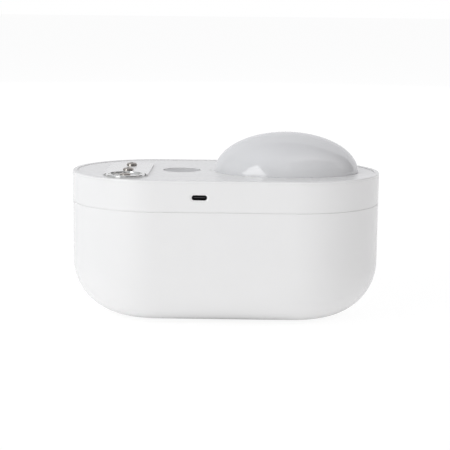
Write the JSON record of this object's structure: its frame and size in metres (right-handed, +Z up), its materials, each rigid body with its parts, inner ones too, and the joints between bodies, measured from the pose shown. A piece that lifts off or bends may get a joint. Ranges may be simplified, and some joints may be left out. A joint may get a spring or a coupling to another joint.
{
  "type": "motion sensor",
  "caption": "Rechargeable motion sensor: stadium-shaped body with a domed infrared lens, push button and metal mounting plate on top and a USB-C port in front.",
  "frame": {"origin": "under the middle of the base, on the surface that the sensor stands on", "axes": "+X along the body towards the dome, -Y towards the USB-C port, +Z up"},
  "size_m": [0.18, 0.102, 0.1083],
  "materials": {
    "white_shell": "gloss",
    "milky_lens": "translucent gloss",
    "nickel_plate": "polished",
    "nickel_screw": "polished",
    "steel": "satin",
    "dark_steel": "satin",
    "button_grey": "satin",
    "pad_rubber": "matte",
    "black_plastic": "matte",
    "grey_plastic": "matte",
    "circuit_board": "satin",
    "clear_plastic": "clear",
    "cell_wrap": "satin",
    "red_wire": "satin",
    "black_wire": "satin"
  },
  "bodies": {
    "housing": {"backing_plate": "steel", "base_pad": "pad_rubber", "battery_cell_front": "cell_wrap", "battery_cell_rear": "cell_wrap", "battery_cradle": "grey_plastic", "battery_lead_front": "black_wire", "battery_lead_rear": "red_wire", "battery_socket": "grey_plastic", "battery_strap": "steel", "board_screw_1": "steel", "board_screw_2": "steel", "board_screw_3": "steel", "board_screw_4": "steel", "button_spring": "steel", "buzzer": "black_plastic", "cell_link": "nickel_plate", "dome_lens": "milky_lens", "housing_screw_1": "steel", "housing_screw_2": "steel", "housing_screw_3": "steel", "housing_screw_4": "steel", "housing_seal": "pad_rubber", "lens_ring": "grey_plastic", "lens_seal": "pad_rubber", "light_pipe": "clear_plastic", "lower_housing": "white_shell", "main_board": "circuit_board", "mount_cup": "nickel_plate", "mounting_plate": "nickel_plate", "pir_holder": "black_plastic", "pir_sensor": "steel", "pir_window": "black_plastic", "plate_screw_front": "nickel_screw", "plate_screw_middle": "nickel_screw", "plate_screw_rear": "nickel_screw", "processor": "black_plastic", "radio_module": "steel", "status_light": "clear_plastic", "switch_body": "black_plastic", "top_plate": "white_shell", "upper_housing": "white_shell", "usb_shell": "dark_steel", "usb_tongue": "black_plastic"},
    "button": {"button_cap": "button_grey"},
    "plunger": {"switch_plunger": "grey_plastic"}
  },
  "joints": [
    {"name": "button_press", "type": "slide", "parent": "housing", "child": "button", "axis": [0, 0, -1], "range_m": [0, 0.001], "stiffness_N_per_m": 500, "springref_m": -0.001, "deforming": ["button_spring"]},
    {"name": "plunger_press", "type": "slide", "parent": "housing", "child": "plunger", "axis": [0, 0, -1], "range_m": [0, 0.001]}
  ],
  "couplings": [
    {"joint": "plunger_press", "follows": "button_press", "ratio": 1}
  ]
}
